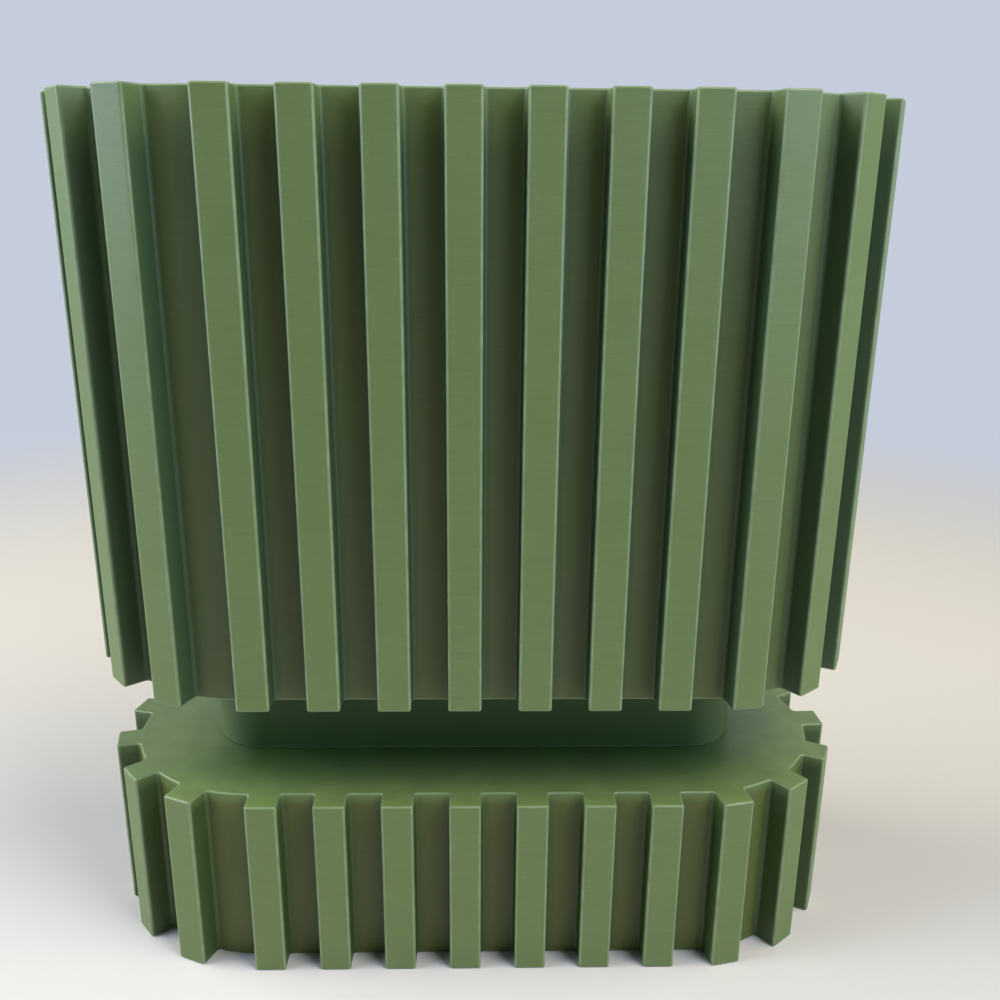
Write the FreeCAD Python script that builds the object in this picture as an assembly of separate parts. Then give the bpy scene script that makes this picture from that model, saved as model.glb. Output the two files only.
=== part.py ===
import FreeCAD, Part
import math
import os

# A desk planter in two printed pieces: a ribbed racetrack pot on a recessed neck,
# standing on a matching ribbed drip base. The neck's spigot drops into the base's well,
# and the pot lifts straight off. Millimetres, +Z up, +X along the long side, front at -Y.
# The origin is on the surface that the base stands on, under the middle of the racetrack.

# Racetrack plan, at the wall between the ribs
STRAIGHT_LENGTH = 67.9
WALL_RADIUS = 21.6

# Ribs, stepped along the wall line from the left end of the straight front
RIB_COUNT = 27
RIB_PITCH = 10.0
FIRST_RIB = 2.45
RIB_WIDTH = 4.75
RIB_DEPTH = 3.55
RIB_ROOT = 1.2

# Heights of the drip base, the bare neck and the pot above it
BASE_HEIGHT = 29.1
NECK_HEIGHT = 15.6
POT_HEIGHT = 82.8

# Small bevel on the edges of the ribs, rims and feet
EDGE_BEVEL = 0.45

# Inside of the pot
WALL_THICKNESS = 2.4
POT_FLOOR = 3.0
SLOT_RADIUS = 4.6
SLOT_LEAD_IN = 2.0

# Neck, and the spigot under it that locates the pot
NECK_RADIUS = 8.8
SPIGOT_RADIUS = 6.4
SPIGOT_LENGTH = 8.0
SPIGOT_FLOOR = 2.0
SPIGOT_CLEARANCE = 0.4
DRAIN_COUNT = 3
DRAIN_PITCH = 24.0
DRAIN_RADIUS = 3.5

# Drip base
BASE_FLOOR = 3.0
WELL_LEAD_IN = 0.4

POT_BOTTOM = BASE_HEIGHT + NECK_HEIGHT
RIM = POT_BOTTOM + POT_HEIGHT
SPIGOT_BOTTOM = BASE_HEIGHT - SPIGOT_LENGTH
HALF_STRAIGHT = STRAIGHT_LENGTH / 2
OVERCUT = 1.0
ON_PLANE = 0.001


def vector(x, y, z):
    return FreeCAD.Vector(x, y, z)


def racetrack(radius, low, high):
    """Upright racetrack prism with the shared straight length."""
    front_left = vector(-HALF_STRAIGHT, -radius, low)
    front_right = vector(HALF_STRAIGHT, -radius, low)
    right = vector(HALF_STRAIGHT + radius, 0, low)
    back_right = vector(HALF_STRAIGHT, radius, low)
    back_left = vector(-HALF_STRAIGHT, radius, low)
    left = vector(-HALF_STRAIGHT - radius, 0, low)
    sides = [
        Part.LineSegment(front_left, front_right),
        Part.Arc(front_right, right, back_right),
        Part.LineSegment(back_right, back_left),
        Part.Arc(back_left, left, front_left),
    ]
    outline = Part.Wire([side.toShape() for side in sides])
    return Part.Face(outline).extrude(vector(0, 0, high - low))


def edges_at(solid, height, test=None):
    """Edges that lie flat at a height, or those of them that pass a test."""
    flat = [
        edge
        for edge in solid.Edges
        if all(abs(vertex.Z - height) < ON_PLANE for vertex in edge.Vertexes)
    ]
    return [edge for edge in flat if test is None or test(edge)]


def on_racetrack(radius):
    """Test for the edges that run along the racetrack of this radius."""

    def test(edge):
        offsets = [math.hypot(max(abs(end.X) - HALF_STRAIGHT, 0), end.Y) for end in edge.Vertexes]
        return all(abs(offset - radius) < ON_PLANE for offset in offsets)

    return test


def bevelled(solid, size, heights, test=None):
    """The solid with its flat edges at these heights cut back at 45 degrees."""
    edges = [edge for height in heights for edge in edges_at(solid, height, test)]
    return solid.makeChamfer(size, edges)


def rib(height):
    """One rib on the wall line, its root inside the wall and its outer face towards -Y."""
    corner = vector(-RIB_WIDTH / 2, -RIB_DEPTH, 0)
    bar = Part.makeBox(RIB_WIDTH, RIB_DEPTH + RIB_ROOT, height, corner)
    outer = [edge for edge in bar.Edges if edge.CenterOfMass.y < 0]
    return bar.makeChamfer(EDGE_BEVEL, outer)


def wall_place(distance):
    """Placement on the wall line at a distance from the left end of the straight front."""
    end_length = math.pi * WALL_RADIUS
    if distance < STRAIGHT_LENGTH:
        point = vector(distance - HALF_STRAIGHT, -WALL_RADIUS, 0)
        turn = 0.0
    elif distance < STRAIGHT_LENGTH + end_length:
        turn = (distance - STRAIGHT_LENGTH) / WALL_RADIUS
        point = vector(HALF_STRAIGHT + WALL_RADIUS * math.sin(turn), -WALL_RADIUS * math.cos(turn), 0)
    elif distance < 2 * STRAIGHT_LENGTH + end_length:
        point = vector(HALF_STRAIGHT - (distance - STRAIGHT_LENGTH - end_length), WALL_RADIUS, 0)
        turn = math.pi
    else:
        turn = math.pi + (distance - 2 * STRAIGHT_LENGTH - end_length) / WALL_RADIUS
        point = vector(-HALF_STRAIGHT + WALL_RADIUS * math.sin(turn), -WALL_RADIUS * math.cos(turn), 0)
    return FreeCAD.Placement(point, FreeCAD.Rotation(vector(0, 0, 1), math.degrees(turn)))


def ribbed_block(low, high):
    """Solid racetrack with its full-height ribs and bevelled ends."""
    height = high - low
    core = bevelled(racetrack(WALL_RADIUS, 0, height), EDGE_BEVEL, (0, height))
    pattern = rib(height)
    ribs = []
    for index in range(RIB_COUNT):
        copy = pattern.copy()
        copy.Placement = wall_place(FIRST_RIB + index * RIB_PITCH)
        ribs.append(copy)
    block = core.multiFuse(ribs).removeSplitter()
    block.translate(vector(0, 0, low))
    return block


def drain_holes():
    """Row of upright holes through the spigot's floor."""
    first = -DRAIN_PITCH * (DRAIN_COUNT - 1) / 2
    holes = []
    for index in range(DRAIN_COUNT):
        start = vector(first + index * DRAIN_PITCH, 0, SPIGOT_BOTTOM - OVERCUT)
        holes.append(Part.makeCylinder(DRAIN_RADIUS, SPIGOT_FLOOR + 2 * OVERCUT, start))
    return holes


def planter_pot():
    """Ribbed pot with its neck, spigot, cavity and drain."""
    floor_top = POT_BOTTOM + POT_FLOOR
    neck = bevelled(racetrack(NECK_RADIUS, BASE_HEIGHT, floor_top), EDGE_BEVEL, (BASE_HEIGHT,))
    spigot = bevelled(racetrack(SPIGOT_RADIUS, SPIGOT_BOTTOM, floor_top), EDGE_BEVEL, (SPIGOT_BOTTOM,))
    outside = ribbed_block(POT_BOTTOM, RIM).multiFuse([neck, spigot])
    soil_radius = WALL_RADIUS - WALL_THICKNESS
    soil = racetrack(soil_radius, floor_top, RIM + OVERCUT)
    slot = racetrack(SLOT_RADIUS, SPIGOT_BOTTOM + SPIGOT_FLOOR, floor_top + OVERCUT)
    pot = outside.cut([soil, slot] + drain_holes())
    pot = bevelled(pot, SLOT_LEAD_IN, (floor_top,), on_racetrack(SLOT_RADIUS))
    return bevelled(pot, EDGE_BEVEL, (RIM,), on_racetrack(soil_radius))


def drip_base():
    """Ribbed block with a flat top and the well that takes the spigot and the drips."""
    well_radius = SPIGOT_RADIUS + SPIGOT_CLEARANCE
    well = racetrack(well_radius, BASE_FLOOR, BASE_HEIGHT + OVERCUT)
    base = ribbed_block(0, BASE_HEIGHT).cut(well)
    return bevelled(base, WELL_LEAD_IN, (BASE_HEIGHT,), on_racetrack(well_radius))


PIECES = {"planter_pot": planter_pot, "drip_base": drip_base}

os.makedirs("parts", exist_ok=True)
for name, make in PIECES.items():
    shape = make()
    solid = shape.Solids[0]
    print(name, "solids", len(shape.Solids), "valid", solid.isValid(), "volume", round(solid.Volume))
    solid.exportStep("parts/" + name + ".step")
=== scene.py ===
import math

import bmesh
import bpy
from mathutils import Matrix, Vector


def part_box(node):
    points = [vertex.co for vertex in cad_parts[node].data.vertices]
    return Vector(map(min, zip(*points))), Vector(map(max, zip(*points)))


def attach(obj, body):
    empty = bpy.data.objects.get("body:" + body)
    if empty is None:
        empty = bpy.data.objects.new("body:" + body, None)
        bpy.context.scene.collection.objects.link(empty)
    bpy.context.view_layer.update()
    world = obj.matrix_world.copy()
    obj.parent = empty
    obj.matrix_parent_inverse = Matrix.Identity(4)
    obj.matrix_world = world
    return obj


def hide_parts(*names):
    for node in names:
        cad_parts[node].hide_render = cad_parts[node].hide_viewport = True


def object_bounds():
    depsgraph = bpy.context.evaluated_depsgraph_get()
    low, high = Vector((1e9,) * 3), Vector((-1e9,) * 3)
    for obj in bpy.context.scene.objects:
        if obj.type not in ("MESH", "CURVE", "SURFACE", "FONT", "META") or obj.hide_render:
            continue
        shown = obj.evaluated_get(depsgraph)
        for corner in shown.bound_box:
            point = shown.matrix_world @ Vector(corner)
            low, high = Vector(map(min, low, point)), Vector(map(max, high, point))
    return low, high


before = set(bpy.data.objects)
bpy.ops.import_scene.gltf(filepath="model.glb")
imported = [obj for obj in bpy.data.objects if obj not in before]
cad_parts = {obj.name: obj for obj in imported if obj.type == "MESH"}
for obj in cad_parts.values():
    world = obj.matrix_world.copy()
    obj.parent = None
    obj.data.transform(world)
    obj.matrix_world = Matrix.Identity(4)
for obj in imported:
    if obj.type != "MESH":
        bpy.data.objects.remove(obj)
cad_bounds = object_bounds()

MM = 0.001

# Racetrack plan at the wall between the ribs
STRAIGHT_LENGTH = 67.9 * MM
WALL_RADIUS = 21.6 * MM
END_LENGTH = math.pi * WALL_RADIUS
PLAN_LENGTH = 2 * (STRAIGHT_LENGTH + END_LENGTH)

# Ribs, stepped along the wall line from the left end of the straight front
RIB_COUNT = 27
RIB_PITCH = 10.0 * MM
FIRST_RIB = 2.45 * MM
RIB_WIDTH = 4.75 * MM
RIB_DEPTH = 3.55 * MM

# Heights, taken from the frame where a node ends there
POT_LOW, POT_HIGH = (corner.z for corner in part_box("planter_pot"))
BASE_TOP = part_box("drip_base")[1].z
NECK_HEIGHT = 15.6 * MM
POT_BOTTOM = BASE_TOP + NECK_HEIGHT

# Inside of the pot, neck, spigot and well
WALL_THICKNESS = 2.4 * MM
POT_FLOOR = 3.0 * MM
SLOT_RADIUS = 4.6 * MM
SLOT_LEAD_IN = 2.0 * MM
NECK_RADIUS = 8.8 * MM
SPIGOT_RADIUS = 6.4 * MM
SPIGOT_FLOOR = 2.0 * MM
SPIGOT_BEVEL = 0.45 * MM
DRAIN_COUNT = 3
DRAIN_PITCH = 24.0 * MM
DRAIN_RADIUS = 3.5 * MM
WELL_RADIUS = 6.8 * MM
WELL_FLOOR = 3.0 * MM
WELL_LEAD_IN = 0.4 * MM

# Stations round the plan: shares of a rib's width, and steps along the wall between two ribs
RIB_SHARES = (0.0, 0.2, 0.4, 0.6, 0.8, 1.0)
GAP_STEPS = 4
DRAIN_STEPS = 32

# Rounding of the ribs' upright edges, of their roots, and of the rims and feet
EDGE_ROUNDING = 0.42 * MM
ROOT_ROUNDING = 0.55 * MM
RIM_ROUNDING = 0.3 * MM
ROUND_SEGMENTS = 4
ROOT_SEGMENTS = 3

# Fold of an edge that is rounded, and of one that stays a crease in the smooth shading
SQUARE_ANGLE = math.radians(60)
CREASE_ANGLE = math.radians(35)
LARGE_FACE_WEIGHT = 100

# Upright part of the normal of a face that counts as level, and distance of places that are the same
LEVEL_NORMAL = 0.99
SAME_PLACE = 0.001 * MM

# Stretches out of the painted shade between the ribs: at the ribs' tips, the pot's rim and the base's
# top
EDGE_BAND = 0.7 * MM
RIM_GLOW = 8.0 * MM
BASE_GLOW = 2.0 * MM

# Share of that painted shade at the pot's rim, and how fast the neck's painted shade falls off round
# its ends
RIM_SHADE = 0.25
END_FALL = 4

# How much stronger the crests' painted highlight is where they face down, and weaker where they face up
DOWNWARD_EDGE_HIGHLIGHT = 0.7

# Lines that the printing leaves, as steps along an axis: layers on walls, and raked level skins
LAYER_HEIGHT = 0.2 * MM
RAKED_STEP = 0.9 * MM

# Radians that the Wave texture's lines go on by over a unit along an axis, at a scale of 1
WAVE_RADIANS = {"Z": 20.0, "DIAGONAL": 10.0}

# Noise patterns of the finish, each as its scale per metre and its detail
MOTTLE = (130.0, 3.0)
GRAIN = (3200.0, 2.0)
EDGE_WEAR = (420.0, 4.0)
SKIN_PATCHES = (320.0, 3.0)
STREAKS = (1.0, 2.0)
STREAK_STRETCH = (220.0, 220.0, 5200.0)

# Shift of those patterns along the length, so that the two prints differ
POT_SHIFT = 0.0
BASE_SHIFT = 0.31

# Effect of the patterns, each as its span and its lowest value
STREAK_VALUE = (0.22, 0.89)
GRAIN_VALUE = (0.12, 0.94)
PATCH_VALUE = (0.4, 0.8)
GRAIN_ROUGHNESS = (0.16, 0.42)

# Smoother level skins, and the relief of lines and grain
TOP_SKIN_POLISH = 0.18
GRAIN_RELIEF = 1.5
RELIEF_STRENGTH = 0.4
RELIEF_HEIGHT = 0.016 * MM

# Camera, as fitted to the photograph's square frame
CAMERA_PLACE = Vector((0.05, -153.1, 116.45)) * MM
CAMERA_PITCH = math.radians(17.43)
CAMERA_YAW = math.radians(1.41)
CAMERA_ROLL = math.radians(0.55)
FRAME_PIXELS = 1000
FOCAL_PIXELS = 1011.2
SENSOR_WIDTH = 36.0
CLIP_START = 0.01

# Floor, and the radii between which it fades into the background and throws less light back
FLOOR_HALF = 3.0
FLOOR_ROUGHNESS = 0.9
FADE_START = 0.16
FADE_END = 0.42

# Soft round lamps: name, azimuth from the front to the right, elevation, distance, width, power, colour
SOFT_LAMPS = (
    ("left_high_lamp", -95, 42, 1.0, 0.7, 8.0, (1.02, 1.0, 0.9)),
    ("right_high_lamp", 70, 60, 1.0, 0.7, 7.7, (1.07, 1.0, 0.75)),
    ("left_near_lamp", -75, 25, 0.35, 0.25, 0.7, (0.83, 1.0, 1.5)),
    ("right_near_lamp", 48, 30, 0.35, 0.25, 0.67, (0.83, 1.0, 1.5)),
)
AMBIENT = 0.02

# Part of a direction along Y from which gloss shows a dimmer studio, and at which it is dimmest
DIM_START = -0.82
DIM_FULL = -0.98


def srgb(red, green, blue):
    """Linear colour with alpha for a colour given as it looks on screen, 0 to 255."""
    def linear(value):
        share = value / 255
        return share / 12.92 if share <= 0.04045 else ((share + 0.055) / 1.055) ** 2.4

    return (linear(red), linear(green), linear(blue), 1.0)


# Colours of the plastic, the lighter colour of its crests from wear and a painted highlight, and the
# tones of painted shade by layer
OLIVE = srgb(105, 124, 71)
OLIVE_DEEP = srgb(99, 119, 63)
OLIVE_EDGE_WEAR_AND_HIGHLIGHT = srgb(140, 160, 118)
POT_RECESS_PAINTED_SHADE = (0.63, 0.61, 0.5, 1.0)
BASE_RECESS_PAINTED_SHADE = (0.65, 0.6, 0.3, 1.0)
RIB_SIDE_PAINTED_SHADE = (0.5, 0.68, 0.95, 1.0)
UNDERCUT_PAINTED_SHADE = (0.22, 0.42, 0.25, 1.0)

# Colours of the stage
FLOOR_PALE = srgb(201, 196, 187)
FLOOR_DIM = srgb(63, 63, 63)
BACK_PALE = srgb(197, 205, 221)
FRONT_DIM = srgb(70, 72, 52)


# Plan

def wall_frame(distance):
    """Middle of the plan and outward direction at a distance along the wall line."""
    distance %= PLAN_LENGTH
    half = STRAIGHT_LENGTH / 2
    if distance < STRAIGHT_LENGTH:
        spine, turn = distance - half, 0.0
    elif distance < STRAIGHT_LENGTH + END_LENGTH:
        spine, turn = half, (distance - STRAIGHT_LENGTH) / WALL_RADIUS
    elif distance < 2 * STRAIGHT_LENGTH + END_LENGTH:
        spine, turn = half - (distance - STRAIGHT_LENGTH - END_LENGTH), math.pi
    else:
        spine, turn = -half, math.pi + (distance - 2 * STRAIGHT_LENGTH - END_LENGTH) / WALL_RADIUS
    return Vector((spine, 0, 0)), Vector((math.sin(turn), -math.cos(turn), 0))


def rib_middle(rib):
    """Distance of a rib's middle along the wall line."""
    return FIRST_RIB + rib * RIB_PITCH


def plan_stations():
    """Stations round the plan: distance along the wall line, and rib, or None between ribs."""
    stations = []
    for rib in range(RIB_COUNT):
        start = rib_middle(rib) - RIB_WIDTH / 2
        end = start + RIB_WIDTH
        next_middle = rib_middle(rib + 1) if rib + 1 < RIB_COUNT else rib_middle(0) + PLAN_LENGTH
        gap = next_middle - RIB_WIDTH / 2 - end
        for share in RIB_SHARES:
            stations.append((start + RIB_WIDTH * share, rib))
        for step in range(1, GAP_STEPS):
            stations.append((end + gap * step / GAP_STEPS, None))
    return stations


STATIONS = plan_stations()


def plan_point(station, radius, height):
    """Point of the racetrack with this radius at a station."""
    spine, outward = wall_frame(STATIONS[station][0])
    return spine + outward * radius + Vector((0, 0, height))


def rib_point(station, depth, height):
    """Point of the rib that a station belongs to, on a flat at this depth in front of the wall."""
    distance, rib = STATIONS[station]
    spine, outward = wall_frame(rib_middle(rib))
    along = Vector((-outward.y, outward.x, 0)) * (distance - rib_middle(rib))
    return spine + outward * (WALL_RADIUS + depth) + along + Vector((0, 0, height))


def along_side(station):
    """Share that is 1 along the straight sides and falls to 0 at the middle of the round ends."""
    outward = wall_frame(STATIONS[station][0])[1]
    return outward.y ** END_FALL


def at_rib_side(station):
    """Whether a station is at one of the two sides of its rib."""
    distance, rib = STATIONS[station]
    return abs(abs(distance - rib_middle(rib)) - RIB_WIDTH / 2) < SAME_PLACE


# Mesh of the two prints

def parts_of(made, kind):
    """Parts of one kind among those that an operator made."""
    return [part for part in made if isinstance(part, kind)]


class PrintedShell:
    """A racetrack shell swept ring by ring along a profile of radius and height."""

    def __init__(self, radius, height):
        self.mesh = bmesh.new()
        self.station = self.mesh.verts.layers.int.new("station")
        # Layers of painted shade: between the ribs, on the ribs' sides, and under the pot
        self.recess_painted_shade = self.mesh.verts.layers.float.new("recess_painted_shade")
        self.undercut_painted_shade = self.mesh.verts.layers.float.new("undercut_painted_shade")
        self.rib_side_painted_shade = self.mesh.verts.layers.float.new("rib_side_painted_shade")
        ring = bmesh.ops.create_circle(self.mesh, segments=len(STATIONS), radius=radius)["verts"]
        for index, vert in enumerate(ring):
            vert[self.station] = index
            vert.co = plan_point(index, radius, height)
        self.first_ring = list(self.mesh.edges)
        self.ring = self.first_ring

    def extrude_ring(self, ring):
        """Carry a ring on, and give its new vertices, the edges between them and the new faces."""
        made = bmesh.ops.extrude_edge_only(self.mesh, edges=ring)["geom"]
        verts = parts_of(made, bmesh.types.BMVert)
        new = set(verts)
        edges = [edge for edge in parts_of(made, bmesh.types.BMEdge) if new.issuperset(edge.verts)]
        return verts, edges, parts_of(made, bmesh.types.BMFace)

    def sweep(self, radius, height, recess_painted_shade=0.0, undercut_painted_shade=0.0):
        """Carry the open ring on to a radius and height, with its painted shade, and give the new
        faces.
        """
        verts, self.ring, faces = self.extrude_ring(self.ring)
        for vert in verts:
            vert.co = plan_point(vert[self.station], radius, height)
            vert[self.recess_painted_shade] = recess_painted_shade
            vert[self.undercut_painted_shade] = undercut_painted_shade * along_side(vert[self.station])
        return faces

    def pull_ribs(self, wall):
        """Pull the ribs out of a wall's faces, with a painted shade that ends just short of their tips.
        """
        faces = []
        for face in wall:
            ribs = {STATIONS[vert[self.station]][1] for vert in face.verts}
            if len(ribs) == 1 and None not in ribs:
                faces.append(face)
        # Painted shade on the ribs' sides, as deep as the wall's at their roots
        for face in faces:
            for vert in face.verts:
                vert[self.rib_side_painted_shade] = vert[self.recess_painted_shade] * at_rib_side(vert[self.station])
        for depth, painted_shade_kept in ((RIB_DEPTH - EDGE_BAND, True), (RIB_DEPTH, False)):
            made = bmesh.ops.extrude_face_region(self.mesh, geom=faces)["geom"]
            for vert in parts_of(made, bmesh.types.BMVert):
                vert.co = rib_point(vert[self.station], depth, vert.co.z)
                vert[self.recess_painted_shade] *= painted_shade_kept
                vert[self.rib_side_painted_shade] *= painted_shade_kept
            bmesh.ops.delete(self.mesh, geom=faces, context="FACES")
            faces = parts_of(made, bmesh.types.BMFace)

    def round_edges(self):
        """Round the ribs' edges and roots, the rims and the feet, and mark the outer crests for wear
        and a painted highlight.
        """
        rounded = self.mesh.faces.layers.int.new("rounded")
        for level, side, size, segments in (
            (False, 1, EDGE_ROUNDING, ROUND_SEGMENTS),
            (False, -1, ROOT_ROUNDING, ROOT_SEGMENTS),
            (True, 1, RIM_ROUNDING, ROUND_SEGMENTS),
        ):
            bmesh.ops.recalc_face_normals(self.mesh, faces=self.mesh.faces)
            square = [
                edge for edge in self.mesh.edges
                if edge.is_manifold and side * edge.calc_face_angle_signed() > SQUARE_ANGLE
                and (abs(edge.verts[0].co.z - edge.verts[1].co.z) < RIM_ROUNDING) == level
            ]
            made = bmesh.ops.bevel(
                self.mesh, geom=square, offset=size, offset_type="OFFSET", segments=segments,
                profile=0.5, affect="EDGES", clamp_overlap=True, material=-1,
            )
            for face in made["faces"]:
                face[rounded] = 1 if side > 0 else 0
        # Crests lighter from wear and a painted highlight, stronger where they face down
        crest_wear_and_highlight = self.mesh.verts.layers.float.new("edge_wear_and_highlight")
        self.mesh.normal_update()
        for vert in self.mesh.verts:
            share = min((face[rounded] for face in vert.link_faces), default=0)
            vert[crest_wear_and_highlight] = share * (1 - DOWNWARD_EDGE_HIGHLIGHT * vert.normal.z)
        self.mesh.faces.layers.int.remove(rounded)

    def drain_holes(self, low, high):
        """Walls of the drain holes, given as their lower and their upper edges."""
        lower, upper = [], []
        first = -DRAIN_PITCH * (DRAIN_COUNT - 1) / 2
        for index in range(DRAIN_COUNT):
            place = Matrix.Translation((first + index * DRAIN_PITCH, 0, low))
            ring = bmesh.ops.create_circle(
                self.mesh, segments=DRAIN_STEPS, radius=DRAIN_RADIUS, matrix=place,
            )["verts"]
            edges = list(dict.fromkeys(edge for vert in ring for edge in vert.link_edges))
            raised, raised_edges, _ = self.extrude_ring(edges)
            bmesh.ops.translate(self.mesh, verts=raised, vec=(0, 0, high - low))
            lower += edges
            upper += raised_edges
        return lower, upper

    def close(self, ring, holes=()):
        """Fill a flat ring, round the edges of any holes."""
        edges = list(ring) + list(holes)
        bmesh.ops.triangle_fill(self.mesh, edges=edges, use_beauty=True, use_dissolve=False)

    def finish(self, name, node, body, material):
        """The shell as a piece that stands for its node."""
        bmesh.ops.recalc_face_normals(self.mesh, faces=self.mesh.faces)
        skin = self.mesh.faces.layers.float.new("top_skin")
        for face in self.mesh.faces:
            face[skin] = 1.0 if abs(face.normal.z) > LEVEL_NORMAL else 0.0
            face.smooth = True
        for edge in self.mesh.edges:
            edge.smooth = edge.calc_face_angle(0.0) < CREASE_ANGLE
        data = bpy.data.meshes.new(name)
        self.mesh.to_mesh(data)
        self.mesh.free()
        piece = bpy.data.objects.new(name, data)
        bpy.context.scene.collection.objects.link(piece)
        data.materials.append(material)
        normals = piece.modifiers.new("flat_faces", "WEIGHTED_NORMAL")
        normals.keep_sharp = True
        normals.weight = LARGE_FACE_WEIGHT
        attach(piece, body)
        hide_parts(node)


def planter_pot(material):
    """Pot with ribbed wall, soil space, neck, spigot and drain."""
    floor_top = POT_BOTTOM + POT_FLOOR
    slot_floor = POT_LOW + SPIGOT_FLOOR
    soil_radius = WALL_RADIUS - WALL_THICKNESS
    shell = PrintedShell(SPIGOT_RADIUS - SPIGOT_BEVEL, POT_LOW)
    spigot_ring = shell.first_ring
    shell.sweep(SPIGOT_RADIUS, POT_LOW + SPIGOT_BEVEL)
    shell.sweep(SPIGOT_RADIUS, BASE_TOP)
    # Painted shade under the pot, on the neck, fading round its ends
    shell.sweep(NECK_RADIUS, BASE_TOP, undercut_painted_shade=1.0)
    shell.sweep(NECK_RADIUS, POT_BOTTOM, undercut_painted_shade=1.0)
    # Painted shade on the wall between the ribs, lighter towards the rim
    shell.sweep(WALL_RADIUS, POT_BOTTOM, recess_painted_shade=1.0)
    wall = shell.sweep(WALL_RADIUS, POT_HIGH - RIM_GLOW, recess_painted_shade=1.0)
    wall += shell.sweep(WALL_RADIUS, POT_HIGH, recess_painted_shade=RIM_SHADE)
    shell.sweep(soil_radius, POT_HIGH)
    shell.sweep(soil_radius, floor_top)
    shell.sweep(SLOT_RADIUS + SLOT_LEAD_IN, floor_top)
    shell.sweep(SLOT_RADIUS, floor_top - SLOT_LEAD_IN)
    shell.sweep(SLOT_RADIUS, slot_floor)
    slot_ring = shell.ring
    shell.pull_ribs(wall)
    shell.round_edges()
    lower, upper = shell.drain_holes(POT_LOW, slot_floor)
    shell.close(spigot_ring, lower)
    shell.close(slot_ring, upper)
    shell.finish("printed_pot", "planter_pot", "pot", material)


def drip_base(material):
    """Base with ribbed wall, flat top and well."""
    shell = PrintedShell(WELL_RADIUS, WELL_FLOOR)
    well_ring = shell.first_ring
    shell.sweep(WELL_RADIUS, BASE_TOP - WELL_LEAD_IN)
    shell.sweep(WELL_RADIUS + WELL_LEAD_IN, BASE_TOP)
    # Painted shade under the pot, on the base's top round the neck
    shell.sweep(NECK_RADIUS, BASE_TOP, undercut_painted_shade=1.0)
    shell.sweep(WALL_RADIUS - BASE_GLOW, BASE_TOP)
    shell.sweep(WALL_RADIUS, BASE_TOP)
    # Painted shade on the wall between the ribs, out of it just below the top
    wall = shell.sweep(WALL_RADIUS, BASE_TOP - BASE_GLOW, recess_painted_shade=1.0)
    wall += shell.sweep(WALL_RADIUS, 0, recess_painted_shade=1.0)
    shell.sweep(WELL_RADIUS, 0)
    foot_ring = shell.ring
    shell.pull_ribs(wall)
    shell.round_edges()
    shell.close(well_ring)
    shell.close(foot_ring)
    shell.finish("printed_base", "drip_base", "base", material)


# Materials

class Nodes:
    """Short hand for making and joining the nodes of one tree."""

    def __init__(self, tree):
        self.tree = tree
        tree.nodes.clear()

    def add(self, kind, inputs=None, **settings):
        """New node with its settings, and with inputs that are joined or set."""
        made = self.tree.nodes.new(kind)
        for key, value in settings.items():
            setattr(made, key, value)
        for key, value in (inputs or {}).items():
            if isinstance(value, bpy.types.NodeSocket):
                self.tree.links.new(value, made.inputs[key])
            else:
                made.inputs[key].default_value = value
        return made

    def calc(self, operation, *values):
        """Result of an operation on two or three values."""
        return self.add("ShaderNodeMath", dict(enumerate(values)), operation=operation).outputs[0]

    def between(self, factor, first, second):
        """Number between two numbers, which the Mix node has at inputs 2 and 3 and output 0."""
        return self.add("ShaderNodeMix", {"Factor": factor, 2: first, 3: second}).outputs[0]

    def blend(self, factor, first, second, kind="MIX"):
        """Blend of two colours, which the Mix node has at inputs 6 and 7 and output 2."""
        inputs = {"Factor": factor, 6: first, 7: second}
        return self.add("ShaderNodeMix", inputs, data_type="RGBA", blend_type=kind).outputs[2]

    def noise(self, place, scale, detail):
        """Soft random pattern between 0 and 1."""
        inputs = {"Vector": place, "Scale": scale, "Detail": detail}
        return self.add("ShaderNodeTexNoise", inputs).outputs["Fac"]

    def lines(self, place, step, direction):
        """Even lines between 0 and 1, at a step along each axis that the direction takes in."""
        scale = 2 * math.pi / (WAVE_RADIANS[direction] * step)
        inputs = {"Vector": place, "Scale": scale, "Distortion": 0.0}
        return self.add("ShaderNodeTexWave", inputs, bands_direction=direction).outputs["Fac"]

    def layer(self, name):
        """Share that the mesh holds in one of its layers."""
        return self.add("ShaderNodeAttribute", attribute_name=name).outputs["Fac"]

    def rise(self, value, start, end):
        """Share that rises smoothly from 0 at the start to 1 at the end."""
        inputs = {"Value": value, "From Min": start, "From Max": end}
        made = self.add("ShaderNodeMapRange", inputs, interpolation_type="SMOOTHSTEP")
        return made.outputs["Result"]


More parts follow.
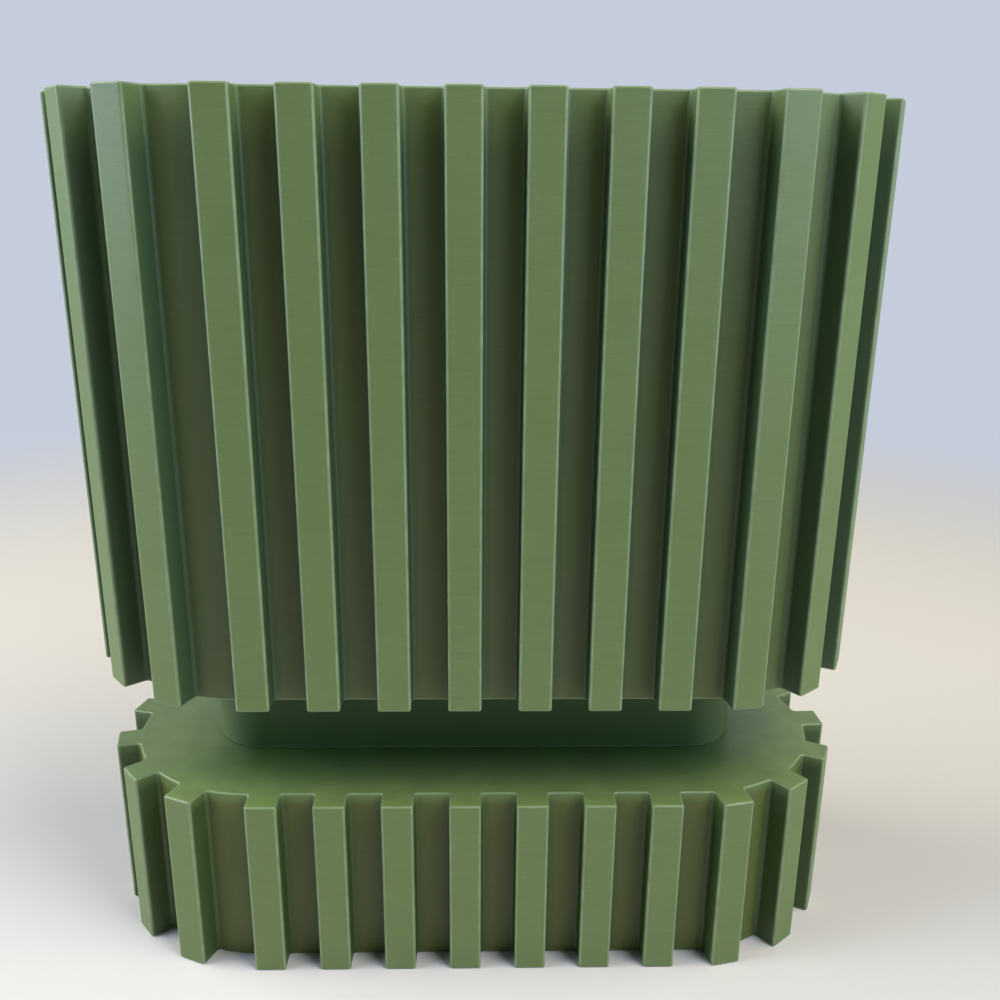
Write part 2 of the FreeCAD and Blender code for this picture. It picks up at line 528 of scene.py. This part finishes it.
def plastic_colour(nodes, place, grain, skin, wall_painted_shade):
    """Olive with soft mottle, layer streaks and patchy level skins, painted shade in the hollows, and
    crests lightened by wear and a painted highlight.
    """
    stretched = {"Vector": place, "Scale": STREAK_STRETCH}
    flat = nodes.add("ShaderNodeMapping", stretched).outputs["Vector"]
    streak = nodes.calc("MULTIPLY_ADD", nodes.noise(flat, *STREAKS), *STREAK_VALUE)
    fine = nodes.calc("MULTIPLY_ADD", grain, *GRAIN_VALUE)
    patch = nodes.calc("MULTIPLY_ADD", nodes.noise(place, *SKIN_PATCHES), *PATCH_VALUE)
    value = nodes.calc("MULTIPLY", streak, fine)
    value = nodes.calc("MULTIPLY", value, nodes.calc("POWER", patch, skin))
    body = nodes.blend(nodes.noise(place, *MOTTLE), OLIVE, OLIVE_DEEP)
    body = nodes.add("ShaderNodeHueSaturation", {"Color": body, "Value": value}).outputs["Color"]
    # Painted shade between the ribs, on the ribs' sides and under the pot
    painted_shade_tones = {"recess_painted_shade": wall_painted_shade, "rib_side_painted_shade": RIB_SIDE_PAINTED_SHADE, "undercut_painted_shade": UNDERCUT_PAINTED_SHADE}
    for layer, tone in painted_shade_tones.items():
        body = nodes.blend(nodes.layer(layer), body, tone, "MULTIPLY")
    # Crests lightened by wear and a painted highlight
    crest_wear_and_highlight = nodes.calc("MULTIPLY", nodes.layer("edge_wear_and_highlight"), nodes.noise(place, *EDGE_WEAR))
    return nodes.blend(crest_wear_and_highlight, body, OLIVE_EDGE_WEAR_AND_HIGHLIGHT)


def plastic_relief(nodes, place, grain, skin):
    """Normal with fine grain over the layer lines of the walls and the raked lines of level skins."""
    layers = nodes.lines(place, LAYER_HEIGHT, "Z")
    raked = nodes.lines(place, RAKED_STEP, "DIAGONAL")
    lines = nodes.between(skin, layers, raked)
    height = nodes.calc("MULTIPLY_ADD", grain, GRAIN_RELIEF, lines)
    relief = {"Height": height, "Strength": RELIEF_STRENGTH, "Distance": RELIEF_HEIGHT}
    return nodes.add("ShaderNodeBump", relief).outputs["Normal"]


def printed_plastic(name, shift, wall_painted_shade):
    """Matt olive print, with painted shade in its hollows and a painted highlight on its crests."""
    material = bpy.data.materials.new(name)
    material.use_nodes = True
    nodes = Nodes(material.node_tree)
    place = nodes.add("ShaderNodeTexCoord").outputs["Object"]
    shifted = {"Vector": place, "Location": (shift, 0, 0)}
    moved = nodes.add("ShaderNodeMapping", shifted).outputs["Vector"]
    grain = nodes.noise(moved, *GRAIN)
    skin = nodes.layer("top_skin")
    rough = nodes.calc("MULTIPLY_ADD", grain, *GRAIN_ROUGHNESS)
    rough = nodes.calc("SUBTRACT", rough, nodes.calc("MULTIPLY", skin, TOP_SKIN_POLISH))
    shader = nodes.add("ShaderNodeBsdfPrincipled", {
        "Base Color": plastic_colour(nodes, moved, grain, skin, wall_painted_shade),
        "Roughness": rough,
        "Normal": plastic_relief(nodes, place, grain, skin),
    })
    nodes.add("ShaderNodeOutputMaterial", {"Surface": shader.outputs["BSDF"]})
    return material


# Stage

def mirrored_studio(nodes, direction):
    """Colour that gloss shows in a direction: pale all round, and dim towards the front."""
    depth = nodes.add("ShaderNodeSeparateXYZ", {0: direction}).outputs["Y"]
    return nodes.blend(nodes.rise(depth, DIM_START, DIM_FULL), BACK_PALE, FRONT_DIM)


def floor_finish():
    """Pale floor near the planter. Further out, rays that see the background get its colour."""
    material = bpy.data.materials.new("pale_floor")
    material.use_nodes = True
    nodes = Nodes(material.node_tree)
    place = nodes.add("ShaderNodeTexCoord").outputs["Object"]
    radius = nodes.add("ShaderNodeVectorMath", {0: place}, operation="LENGTH").outputs["Value"]
    away = nodes.add("ShaderNodeVectorMath", {0: place}, operation="NORMALIZE").outputs["Vector"]
    path = nodes.add("ShaderNodeLightPath").outputs
    seeing = nodes.calc("MAXIMUM", path["Is Camera Ray"], path["Is Glossy Ray"])
    seeing = nodes.calc("MAXIMUM", seeing, path["Is Transmission Ray"])
    fade = nodes.rise(radius, FADE_START, FADE_END)
    far = nodes.calc("MULTIPLY", fade, seeing)
    shade = nodes.blend(nodes.calc("SUBTRACT", fade, far), FLOOR_PALE, FLOOR_DIM)
    near = nodes.add("ShaderNodeBsdfPrincipled", {"Base Color": shade, "Roughness": FLOOR_ROUGHNESS})
    colour = nodes.blend(path["Is Camera Ray"], mirrored_studio(nodes, away), BACK_PALE)
    back = nodes.add("ShaderNodeEmission", {"Color": colour, "Strength": 1.0})
    shaders = {0: far, 1: near.outputs["BSDF"], 2: back.outputs["Emission"]}
    both = nodes.add("ShaderNodeMixShader", shaders)
    nodes.add("ShaderNodeOutputMaterial", {"Surface": both.outputs["Shader"]})
    return material


def pale_floor():
    """Plain pale floor that keeps the planter's shadow and fades into the background."""
    mesh = bmesh.new()
    bmesh.ops.create_grid(mesh, x_segments=1, y_segments=1, size=FLOOR_HALF)
    data = bpy.data.meshes.new("pale_floor")
    mesh.to_mesh(data)
    mesh.free()
    data.materials.append(floor_finish())
    floor = bpy.data.objects.new("pale_floor", data)
    bpy.context.scene.collection.objects.link(floor)


def soft_lamps():
    """Large round lamps aimed at the middle of the planter."""
    middle = (Vector(cad_bounds[0]) + Vector(cad_bounds[1])) / 2
    for name, azimuth, elevation, distance, width, power, colour in SOFT_LAMPS:
        data = bpy.data.lights.new(name, "AREA")
        data.shape = "DISK"
        data.size = width
        data.energy = power
        data.color = colour
        lamp = bpy.data.objects.new(name, data)
        bpy.context.scene.collection.objects.link(lamp)
        lamp.visible_camera = False
        turn = Matrix.Rotation(math.radians(azimuth), 4, "Z")
        rise = Matrix.Rotation(math.radians(90 - elevation), 4, "X")
        away = Matrix.Translation((0, 0, distance))
        lamp.matrix_world = Matrix.Translation(middle) @ turn @ rise @ away


def studio_world():
    """Pale background for the camera, the studio for gloss, and a little even light on the object."""
    world = bpy.data.worlds.new("studio")
    bpy.context.scene.world = world
    world.use_nodes = True
    nodes = Nodes(world.node_tree)
    direction = nodes.add("ShaderNodeTexCoord").outputs["Generated"]
    path = nodes.add("ShaderNodeLightPath").outputs
    gloss = nodes.calc("MAXIMUM", path["Is Glossy Ray"], path["Is Transmission Ray"])
    even = (AMBIENT, AMBIENT, AMBIENT, 1.0)
    colour = nodes.blend(gloss, even, mirrored_studio(nodes, direction))
    colour = nodes.blend(path["Is Camera Ray"], colour, BACK_PALE)
    back = nodes.add("ShaderNodeBackground", {"Color": colour, "Strength": 1.0})
    nodes.add("ShaderNodeOutputWorld", {"Surface": back.outputs["Background"]})


def photo_camera():
    """Camera at the photograph's place and angle."""
    data = bpy.data.cameras.new("photo_camera")
    data.sensor_width = SENSOR_WIDTH
    data.lens = SENSOR_WIDTH * FOCAL_PIXELS / FRAME_PIXELS
    data.clip_start = CLIP_START
    camera = bpy.data.objects.new("photo_camera", data)
    bpy.context.scene.collection.objects.link(camera)
    turn = Matrix.Rotation(-CAMERA_YAW, 4, "Z")
    tilt = Matrix.Rotation(math.pi / 2 - CAMERA_PITCH, 4, "X")
    roll = Matrix.Rotation(CAMERA_ROLL, 4, "Z")
    camera.matrix_world = Matrix.Translation(CAMERA_PLACE) @ turn @ tilt @ roll
    bpy.context.scene.camera = camera


planter_pot(printed_plastic("printed_pot_olive", POT_SHIFT, POT_RECESS_PAINTED_SHADE))
drip_base(printed_plastic("printed_base_olive", BASE_SHIFT, BASE_RECESS_PAINTED_SHADE))
pale_floor()
soft_lamps()
studio_world()
photo_camera()
bpy.context.scene.view_settings.view_transform = "Standard"
